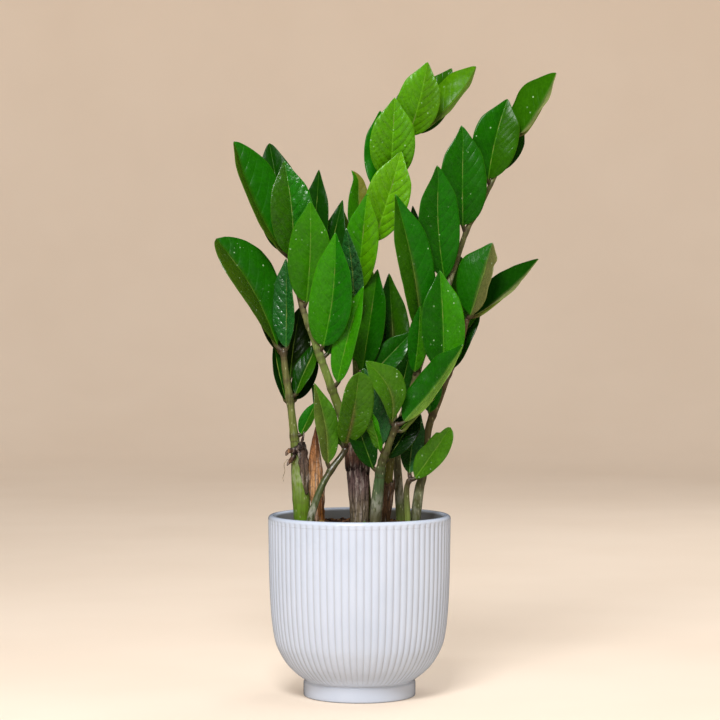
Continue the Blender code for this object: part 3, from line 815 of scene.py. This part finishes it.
# Torn scales: name; seed, curl, thickness and tilt; CAD nodes replaced; rows of (x, y, z, width); tones.
SCRAPS = [
    ("bract_golden", (3, 0.22, 0.5, 0.0), ["dry_cataphyll"],
     [(-30, -9, 127, 6), (-31, -9, 140, 8), (-33, -9, 162, 12.5), (-34, -8, 180, 10), (-33.8, -8, 196, 5),
      (-33.2, -8, 207, 1.0)],
     [(136, 98, 52), (150, 108, 62), (168, 128, 86), (148, 102, 62), (108, 66, 36), (88, 50, 28)]),
    ("bract_golden_husk", (19, 0.4, 0.6, 12.0), [],
     [(-29, -11, 128, 3), (-29.5, -11, 138, 5), (-29.5, -11, 148, 4), (-30, -11, 156, 1.2)],
     [(132, 84, 36), (156, 104, 48), (140, 92, 50), (90, 56, 34)]),
    ("bract_a_lower", (7, 0.16, 0.5, -14.0), ["papery_sheath_a"],
     [(-40.2, -8.0, 155, 2.0), (-41.0, -8.6, 165, 5.5), (-42.0, -8.2, 177, 7.6), (-43.2, -7.0, 188, 7.6),
      (-44.2, -6.0, 195, 5.6)],
     [(72, 62, 42), (92, 80, 60), (88, 72, 62), (60, 46, 36), (34, 26, 20)]),
    ("bract_a_knot", (29, 0.3, 0.5, 10.0), [],
     [(-42.5, -7.5, 191, 4), (-46, -8.4, 189.5, 6), (-50, -7.8, 188, 5.5), (-53, -7, 188, 3)],
     [(36, 26, 22), (58, 42, 34), (42, 30, 26), (70, 50, 38)]),
    ("bract_a_flap", (13, 0.4, 0.5, 30.0), [],
     [(-49, -8, 189, 2.5), (-51.5, -8.5, 188, 4.2), (-54.2, -8.5, 187, 3.6), (-56, -8, 184.5, 1)],
     [(40, 28, 24), (78, 54, 40), (124, 92, 64), (60, 42, 32)]),
    ("bract_a_flap_low", (17, 0.4, 0.5, -20.0), [],
     [(-49, -7.5, 186, 2), (-51.5, -8, 183, 3.6), (-54, -8, 180, 3), (-55.5, -7.5, 177, 0.8)],
     [(36, 26, 22), (70, 48, 36), (96, 68, 48), (60, 42, 32)]),
    ("bract_a_spike", (31, 0.4, 0.5, 0.0), [],
     [(-45, -6.5, 190, 3), (-44, -7, 195, 2.6), (-42.8, -7, 200, 1.6), (-42.4, -7, 203, 0.5)],
     [(40, 28, 24), (50, 36, 30), (66, 48, 38), (40, 28, 22)]),
]
# A hanging thread, as (x, y, z, radius).
THREAD = [(-55, -8, 182, 0.25), (-57.5, -8, 178, 0.22), (-57, -8, 173, 0.2), (-58.5, -8, 168, 0.18),
          (-58, -8, 165, 0.15)]
THREAD_ROWS = 30
THREAD_SEGMENTS = 6


def shell_faces(rows, columns):
    """Faces of a closed ring-shaped shell whose last row of vertices meets its first."""
    faces = sheet_faces(rows, columns, wrap=True)
    last = (rows - 1) * columns
    for column in range(columns):
        after = (column + 1) % columns
        faces.append((last + column, last + after, after, column))
    return faces


def make_sleeve(name, stem, rows, tones, material, seed, ragged, ribs, replaces=()):
    """A papery tube round a stem. rows are (height, radius); tones are (height, sRGB); ragged is how far the
    bottom and the top edges tear; ribs is how far its ribs stand out."""
    turn = circle(SLEEVE_COLUMNS)
    ring = np.stack([np.cos(turn), np.sin(turn), np.zeros(SLEEVE_COLUMNS)], 1)
    tear = rough(ring * 2.6, 1.0, seed) + 0.6 * rough(ring * 9, 1.0, seed + 5)
    heights, radii = zip(*rows)
    outer = []
    for share in np.linspace(0, 1, SLEEVE_ROWS):
        level = heights[0] + share * (heights[-1] - heights[0])
        z = level + ragged[0] * tear * (1 - share) ** 3 + ragged[1] * tear * share ** 3
        centre = stem_at(stem, z[0])[0]
        spot = np.stack([ring[:, 0] * 2, ring[:, 1] * 2, z * 0.12], 1)
        folds = 0.5 * rough(spot, 1.0, seed + 9)
        folds += ribs * np.sin(turn * SLEEVE_RIBS + 3 * rough(spot, 0.6, seed))
        radius = np.interp(z, heights, radii) + folds
        outer.append(np.stack([centre[0] + radius * ring[:, 0], centre[1] + radius * ring[:, 1], z], 1))
    outer = np.array(outer)
    middle = outer.mean(1, keepdims=True)
    inner = middle + (outer - middle) * (SLEEVE_INNER, SLEEVE_INNER, 1.0)
    points = np.concatenate([outer, inner[::-1]]).reshape(-1, 3)
    return make_piece(name, points, shell_faces(2 * SLEEVE_ROWS, SLEEVE_COLUMNS), material,
                      {"tone": tones_at(points[:, 2], tones)}, replaces)


def make_scrap(name, shape, replaces, rows, tones, material):
    """A torn papery scale, curled across its width and tilted about its length."""
    seed, curl, thickness, tilt = shape
    path = smooth_path(rows, SCRAP_ROWS)
    side = np.linspace(-1, 1, SCRAP_COLUMNS)
    angle = math.radians(tilt)
    along = np.gradient(path[:, :3], axis=0)
    front_grid, back_grid = [], []
    for index, (point, direction) in enumerate(zip(path, along)):
        direction = unit(direction)
        right = unit(np.cross(direction, (0.0, -1.0, 0.0)))
        front = np.cross(right, direction)
        wide = right * math.cos(angle) + front * math.sin(angle)
        out = np.cross(wide, direction)
        width = point[3] * (1 + 0.25 * noise.noise(Vector((index * 0.3, seed, 0))))
        wave = 0.5 * np.array([noise.noise(Vector((place * 2, index * 0.22, seed))) for place in side])
        lift = wave - curl * width * side ** 2
        front_grid.append(point[:3] + np.outer(side * width / 2, wide) + np.outer(lift, out))
        back_grid.append(front_grid[-1] - thickness * out)
    points = np.concatenate(front_grid + back_grid)
    share = np.repeat(np.linspace(0, 1, SCRAP_ROWS), SCRAP_COLUMNS)
    tone = tones_at(share, list(zip(np.linspace(0, 1, len(tones)), tones)))
    tone *= 1 - EDGE_SHADE * np.tile(np.abs(side) ** 4, SCRAP_ROWS)[:, None]
    return make_piece(name, points, thick_faces(SCRAP_ROWS, SCRAP_COLUMNS), material,
                      {"tone": np.tile(tone, (2, 1))}, replaces)


def bract_material():
    n = Nodes("dry_bract")
    fibre = n.noise(1.0, 4.0, (900.0, 900.0, 60.0))
    color = n.shaded(n.vector("tone"), n.ramp(fibre, 0.3, 0.7, 0.4, 1.6))
    bloom = n.ramp(n.noise(1.0, 4.0, (500.0, 500.0, 70.0)), 0.52, 0.66)
    color = n.mix(n.times(bloom, 0.5), color, srgb(182, 172, 164))
    crackle = n.voronoi(1.0, (420.0, 420.0, 200.0), "DISTANCE_TO_EDGE")
    crease = n.ramp(crackle.outputs["Distance"], 0.1, 0.0)
    color = n.mix(n.times(crease, 0.4), color, srgb(40, 26, 20))
    normal = n.bump(crease, 0.4, 0.0006, n.bump(fibre, 0.5, 0.0008))
    return n.finish(color, n.ramp(fibre, 0.3, 0.7, 0.5, 0.8), normal, Specular_IOR_Level=0.3)


def make_bracts():
    paper = bract_material()
    make_sleeve("bract_b_lower", "b",
                [(127, 6.9), (140, 7.1), (155, 7.6), (166, 8.4), (176, 8.9)],
                [(127, (98, 92, 66)), (146, (110, 98, 82)), (160, (100, 82, 80)), (170, (84, 66, 66)),
                 (177, (56, 42, 42))],
                paper, 11, (0.0, 2.4), 0.2, ["papery_sheath_b"])
    make_sleeve("bract_b_cap", "b",
                [(173, 9.2), (178, 9.5), (185, 8.8), (190, 7.2), (195, 5.2), (197, 4.5)],
                [(173, (40, 28, 26)), (177, (58, 40, 36)), (182, (100, 72, 60)), (190, (104, 78, 66)),
                 (197, (76, 56, 46))],
                paper, 23, (4.6, 1.6), 0.28)
    make_sleeve("bract_f_lower", "f",
                [(128, 4.6), (140, 4.7), (152, 4.9), (164, 5.2)],
                [(128, (60, 70, 24)), (136, (88, 66, 42)), (150, (98, 72, 50)), (164, (96, 76, 58))],
                paper, 37, (0.0, 3.4), 0.2, ["papery_sheath_f"])
    for scrap in SCRAPS:
        make_scrap(*scrap, paper)
    thread = smooth_path(THREAD, THREAD_ROWS)
    points = tube_points(thread[:, :3], thread[:, 3], THREAD_SEGMENTS).reshape(-1, 3)
    make_piece("bract_a_thread", points, tube_faces(THREAD_ROWS, THREAD_SEGMENTS), paper,
               {"tone": np.tile(srgb(150, 132, 92), (len(points), 1))})
    make_knob("bract_knob", (-29.3, -14, 133.5), (3.0, 2.6, 2.4), (150, 122, 58), paper)


# ---------------------------------------------------------------- buds and stubs

# Green shoots just breaking out of the mix: centre and half sizes.
BUDS = [((3.8, -8.5, 132.0), (1.7, 1.6, 2.4)), ((38.2, -9.5, 131.8), (1.4, 1.3, 2.4))]
BUD_TONE = (48, 106, 12)
KNOB_RINGS = 12
KNOB_SEGMENTS = 16


def make_knob(name, centre, size, color, material):
    """A small rounded bud or stub standing in the mix."""
    points = ball(KNOB_RINGS, KNOB_SEGMENTS)
    points = points * (1 + 0.12 * rough(points * 2, 1.0, centre[0])[:, None]) * size + centre
    make_piece(name, points, tube_faces(KNOB_RINGS, KNOB_SEGMENTS), material,
               {"tone": np.tile(srgb(*color), (len(points), 1))})


# ---------------------------------------------------------------- potting mix

MIX_RADIUS = 63.4
MIX_EDGE_Z = 129.0
MIX_MOUND = 3.4
MIX_COLUMNS = 120
MIX_RINGS = 48
# Rings of the bed below its top, as (radius, z).
MIX_BELOW = [(42.0, 26.0), (58.0, 62.0), (62.0, 110.0)]
MIX_DARK = (44, 26, 16)
MIX_LIGHT = (74, 46, 28)
CRUMB_COUNT = 1100
CRUMB_RINGS = 4
CRUMB_SEGMENTS = 7
CRUMB_TONES = [(40, 22, 14), (58, 34, 20), (78, 48, 28), (30, 18, 12), (104, 70, 42), (52, 28, 18)]
FIBRE_COUNT = 90
FIBRE_REACH = 58
FIBRE_BENDS = 9
FIBRE_STEP = 1.5
FIBRE_ROWS = 20
FIBRE_SEGMENTS = 5
FIBRE_RADIUS = 0.16
FIBRE_TONES = [(120, 84, 50), (86, 56, 34), (140, 104, 66)]


def mix_material():
    n = Nodes("potting_mix")
    grain = n.noise(520.0, 4.0)
    color = n.shaded(n.vector("tone"), n.ramp(grain, 0.3, 0.7, 0.45, 1.5))
    damp = n.ramp(n.noise(45.0), 0.4, 0.65)
    color = n.mix(n.times(damp, 0.4), color, srgb(26, 14, 8))
    roughness = n.ramp(grain, 0.3, 0.7, 0.75, 0.95)
    return n.finish(color, roughness, n.bump(grain, 0.7, 0.001), Specular_IOR_Level=0.25)


def mix_height(x, y):
    """Height of the lumpy, domed top of the mix."""
    share = np.hypot(x, y) / MIX_RADIUS
    lumps = noise.noise(Vector((x, y, 0)) * 0.16) + 0.5 * noise.noise(Vector((x, y, 9)) * 0.5)
    return MIX_EDGE_Z + MIX_MOUND * (1 - share ** 2) + 1.1 * lumps


def make_mix():
    material = mix_material()
    turn = circle(MIX_COLUMNS)
    points = [(radius * math.cos(t), radius * math.sin(t), z) for radius, z in MIX_BELOW for t in turn]
    for radius in np.linspace(MIX_RADIUS, 1.0, MIX_RINGS):
        for t in turn:
            x, y = radius * math.cos(t), radius * math.sin(t)
            points.append((x, y, mix_height(x, y)))
    points = np.array(points)
    spots = rough(points, 0.3, 4)[:, None] * 0.5 + 0.5
    tone = toward(np.array(srgb(*MIX_DARK)), MIX_LIGHT, spots)
    make_piece("mix_bed", points, tube_faces(len(MIX_BELOW) + MIX_RINGS, MIX_COLUMNS), material,
               {"tone": tone}, ["potting_mix"])
    make_crumbs(material)
    make_fibres(material)


def spun(points, angle, first, second):
    """Points turned by an angle from one axis towards another."""
    turned = points.copy()
    turned[:, first] = points[:, first] * math.cos(angle) - points[:, second] * math.sin(angle)
    turned[:, second] = points[:, first] * math.sin(angle) + points[:, second] * math.cos(angle)
    return turned


def make_crumbs(material):
    """Bark and peat crumbs pressed into the top of the mix."""
    chance = random.Random(41)
    round_crumb = ball(CRUMB_RINGS, CRUMB_SEGMENTS)
    crumb_faces = tube_faces(CRUMB_RINGS, CRUMB_SEGMENTS)
    blobs, faces, tones = [], [], []
    for index in range(CRUMB_COUNT):
        reach = MIX_RADIUS * math.sqrt(chance.random()) * 0.985
        turn = chance.random() * 2 * math.pi
        size = 0.5 + 1.7 * chance.random() ** 2.2
        shape = np.array([size * (0.8 + chance.random()), size * (0.6 + 0.6 * chance.random()),
                          size * (0.35 + 0.4 * chance.random())])
        spin = chance.random() * FULL_TURN
        lean = (chance.random() - 0.5) * 1.2
        reach = min(reach, MIX_RADIUS - 1.4 * shape[0])
        x, y = reach * math.cos(turn), reach * math.sin(turn)
        rub = np.array([0.75 + 0.5 * chance.random() for _ in round_crumb])
        blob = spun(spun(round_crumb * rub[:, None] * shape, lean, 2, 0), spin, 0, 1)
        blobs.append(blob + (x, y, mix_height(x, y) + 0.25 * shape[2]))
        faces += shifted(crumb_faces, index * len(blob))
        tones += [srgb(*chance.choice(CRUMB_TONES))] * len(blob)
    make_piece("mix_crumbs", np.concatenate(blobs), faces, material, {"tone": tones})


def make_fibres(material):
    """Coir fibres lying on the mix."""
    chance = random.Random(43)
    fibre_faces = tube_faces(FIBRE_ROWS, FIBRE_SEGMENTS)
    tubes, faces, tones = [], [], []
    for index in range(FIBRE_COUNT):
        turn = chance.random() * FULL_TURN
        reach = FIBRE_REACH * math.sqrt(chance.random())
        x, y = reach * math.cos(turn), reach * math.sin(turn)
        heading = chance.random() * FULL_TURN
        bends = []
        for _ in range(FIBRE_BENDS):
            bends.append((x, y, mix_height(x, y) + 0.5 + 0.7 * chance.random()))
            heading += (chance.random() - 0.5) * 0.9
            x += FIBRE_STEP * math.cos(heading)
            y += FIBRE_STEP * math.sin(heading)
            if math.hypot(x, y) > MIX_RADIUS - FIBRE_STEP:
                heading += math.pi
                x += 2 * FIBRE_STEP * math.cos(heading)
                y += 2 * FIBRE_STEP * math.sin(heading)
        radii = np.full(FIBRE_ROWS, FIBRE_RADIUS)
        tube = tube_points(smooth_path(bends, FIBRE_ROWS), radii, FIBRE_SEGMENTS).reshape(-1, 3)
        tubes.append(tube)
        faces += shifted(fibre_faces, index * len(tube))
        tones += [srgb(*chance.choice(FIBRE_TONES))] * len(tube)
    make_piece("mix_fibres", np.concatenate(tubes), faces, material, {"tone": tones})


# ---------------------------------------------------------------- pot

REED_COUNT = 76
REED_DEPTH = 0.95
REED_STEPS = 12
REED_PHASE = 0.12
REED_SHARPNESS = 2.3
# Heights that the reeds fade out at.
REED_TOP = 136.6
REED_BOTTOM = 12.6
POT_RADIUS = 70
# Profile of the pot from its foot round to its inside, as (radius, z).
FOOT = [(37.0, 0.0), (40.0, 0.0), (41.4, 0.1), (42.4, 0.5), (43.0, 1.6), (43.0, 9.8), (42.8, 11.0),
        (42.0, 12.1)]
BELLY = [(42.2, 12.8), (43.6, 13.8), (49.2, 18.0), (56.3, 25.4), (61.8, 34.6), (65.2, 44.0), (67.7, 62.0),
         (69.2, 90.0), (69.9, 130.0), (70.0, 133.6)]
LIP = [(70.0, 134.6), (70.0, 136.4), (69.5, 137.8), (68.5, 138.7), (67.0, 138.97), (65.6, 138.6),
       (64.6, 137.4), (64.2, 135.4)]
INNER = [(63.9, 124.0), (63.4, 100.0), (61.4, 62.0), (55.0, 36.0), (44.0, 24.0)]


def pot_material():
    n = Nodes("pot_glaze")
    glaze = n.mix(n.ramp(n.noise(14.0), 0.3, 0.7), srgb(205, 217, 237), srgb(197, 210, 231))
    # Painted shade and reflection in the grooves: a grey painted over the glaze down in them.
    groove = n.ramp(n.number("groove"), 0.3, 1.0)
    color = n.mix(n.times(groove, 0.4), glaze, srgb(168, 166, 170))
    # Painted shade on the inner wall: a darker grey inside the pot.
    color = n.mix(n.number("inner"), color, srgb(132, 136, 140))
    pits = n.voronoi(210.0)
    pit = n.ramp(pits.outputs["Distance"], 0.1, 0.04)
    chosen = n.math("GREATER_THAN", n.split(pits.outputs["Color"])[0], 0.985)
    color = n.mix(n.times(pit, chosen, 0.5), color, srgb(150, 140, 128))
    roughness = n.ramp(n.noise(90.0), 0.3, 0.7, 0.1, 0.2)
    normal = n.bump(n.noise(120.0, 2.0), 0.08, 0.0006)
    return n.finish(color, roughness, normal, Specular_IOR_Level=0.5, Coat_Weight=0.5, Coat_Roughness=0.05)


def make_pot():
    profile = []
    for rows, steps in ((FOOT, 3), (BELLY, 7), (LIP, 5), (INNER, 4)):
        profile.append(smooth_path(rows, (len(rows) - 1) * steps + 1))
    radius, height = np.concatenate(profile).T
    keep = np.concatenate([[True], np.hypot(np.diff(radius), np.diff(height)) > 0.05])
    radius, height = radius[keep], height[keep]
    inside = np.arange(len(radius)) >= np.argmax(height)
    count = REED_COUNT * REED_STEPS
    turn = np.arange(count) / REED_STEPS
    shape = (1 - np.abs(2 * (turn % 1.0) - 1)) ** REED_SHARPNESS
    angles = 2 * math.pi * (turn + REED_PHASE) / REED_COUNT - math.pi / 2
    top_fade = np.clip((REED_TOP - height) / 2.4, 0, 1)
    foot_fade = np.clip((height - REED_BOTTOM) / 3.0, 0, 1)
    share = (0.35 + 0.65 * radius / POT_RADIUS) * np.sqrt(top_fade) * foot_fade * ~inside
    # How deep each point lies in a groove; this also sets the painted shade in the grooves.
    groove = share[:, None] * shape
    reach = radius[:, None] - REED_DEPTH * groove
    levels = np.repeat(height[:, None], count, 1)
    points = np.stack([reach * np.cos(angles), reach * np.sin(angles), levels], -1)
    # Where the inner wall takes its painted shade, fading out just under the lip.
    dim = np.repeat(inside * np.clip((138.2 - height) / 1.6, 0, 1), count)
    return make_piece("pot_body", points.reshape(-1, 3), tube_faces(len(radius), count), pot_material(),
                      {"groove": groove.ravel(), "inner": dim}, ["pot"])


# ---------------------------------------------------------------- stage, lights and camera

STAGE_TONE = (233, 219, 203)
STAGE_GLOW = 0.2
STAGE_COLUMNS = 96
FLOOR_REACH = [0.2, 150.0, 600.0, 1200.0, 1900.0, 2500.0]
WALL_BEND = 900.0
WALL_BEND_STEPS = 12
WALL_STEP = 400.0
ROOM_GLOW = 0.32
CAMERA_PLACE = (0.0004, -1.974, 0.3127)
CAMERA_TILT = 1.6
CAMERA_LENS = 128.9
CAMERA_SENSOR = 36.0


def stage_material():
    n = Nodes("stage_paper")
    tint = n.ramp(n.noise(3.0), 0.3, 0.7)
    color = n.mix(tint, srgb(*STAGE_TONE), srgb(229, 214, 197))
    return n.finish(color, 0.75, n.bump(n.noise(500.0, 2.0), 0.05, 0.0005), Specular_IOR_Level=0.2,
                    Emission_Color=(*srgb(*STAGE_TONE), 1.0), Emission_Strength=STAGE_GLOW)


def make_stage():
    """A floor that curves up into a round wall, far enough out for a camera at any side."""
    rows = [(reach, 0.0) for reach in FLOOR_REACH]
    for step in range(1, WALL_BEND_STEPS + 1):
        angle = math.radians(90 * step / WALL_BEND_STEPS)
        rows.append((FLOOR_REACH[-1] + WALL_BEND * math.sin(angle), WALL_BEND * (1 - math.cos(angle))))
    rows += [(FLOOR_REACH[-1] + WALL_BEND, WALL_BEND + WALL_STEP * step) for step in range(1, 6)]
    points = [(r * math.cos(t), r * math.sin(t), z) for r, z in rows for t in circle(STAGE_COLUMNS)]
    mesh = bpy.data.meshes.new("stage_bowl")
    mesh.from_pydata((np.array(points) * MM).tolist(), [], sheet_faces(len(rows), STAGE_COLUMNS, wrap=True))
    mesh.shade_smooth()
    bowl = bpy.data.objects.new("stage_bowl", mesh)
    bpy.context.scene.collection.objects.link(bowl)
    mesh.materials.append(stage_material())
    bowl.visible_glossy = False


def add_light(name, place, target, size, watts, mirrored=True):
    data = bpy.data.lights.new(name, "AREA")
    data.shape = "RECTANGLE"
    data.size, data.size_y = size
    data.energy = watts
    lamp = bpy.data.objects.new(name, data)
    bpy.context.scene.collection.objects.link(lamp)
    lamp.visible_glossy = mirrored
    lamp.location = place
    lamp.rotation_euler = (Vector(target) - Vector(place)).to_track_quat("-Z", "Y").to_euler()


def set_light():
    world = bpy.data.worlds.new("soft_room")
    bpy.context.scene.world = world
    world.use_nodes = True
    background = world.node_tree.nodes["Background"]
    background.inputs["Color"].default_value = (1.0, 0.985, 0.97, 1.0)
    background.inputs["Strength"].default_value = ROOM_GLOW
    world.cycles_visibility.glossy = False
    middle = (0.0, 0.0, 0.25)
    add_light("key_softbox", (-0.2, -1.15, 1.25), middle, (0.45, 0.45), 21.3)
    add_light("glint_strip", (-0.75, -1.45, 0.98), (0.0, 0.0, 0.38), (0.16, 0.5), 2.2)
    add_light("top_softbox", (0.25, 0.1, 1.6), middle, (0.9, 0.7), 5.5, mirrored=False)
    add_light("back_softbox", (0.9, 1.3, 1.1), middle, (0.8, 0.8), 6.0, mirrored=False)


def set_camera():
    data = bpy.data.cameras.new("camera")
    data.lens = CAMERA_LENS
    data.sensor_width = CAMERA_SENSOR
    camera = bpy.data.objects.new("camera", data)
    bpy.context.scene.collection.objects.link(camera)
    camera.location = CAMERA_PLACE
    camera.rotation_euler = (math.radians(90 - CAMERA_TILT), 0.0, 0.0)
    bpy.context.scene.camera = camera
    bpy.context.scene.view_settings.view_transform = "Standard"


def main():
    set_camera()
    set_light()
    make_stage()
    make_pot()
    make_mix()
    stalk = stem_material()
    for stem in STEMS:
        make_stem(stem, stalk)
    for index, (centre, size) in enumerate(BUDS):
        make_knob(f"bud_{index}", centre, size, BUD_TONE, stalk)
    make_bracts()
    blade = leaf_material()
    for leaf in LEAFLETS:
        make_leaf(leaf, blade, ["leaflet_" + leaf.name])
    for leaf in INNER_LEAFLETS:
        make_leaf(leaf, blade, [])


main()
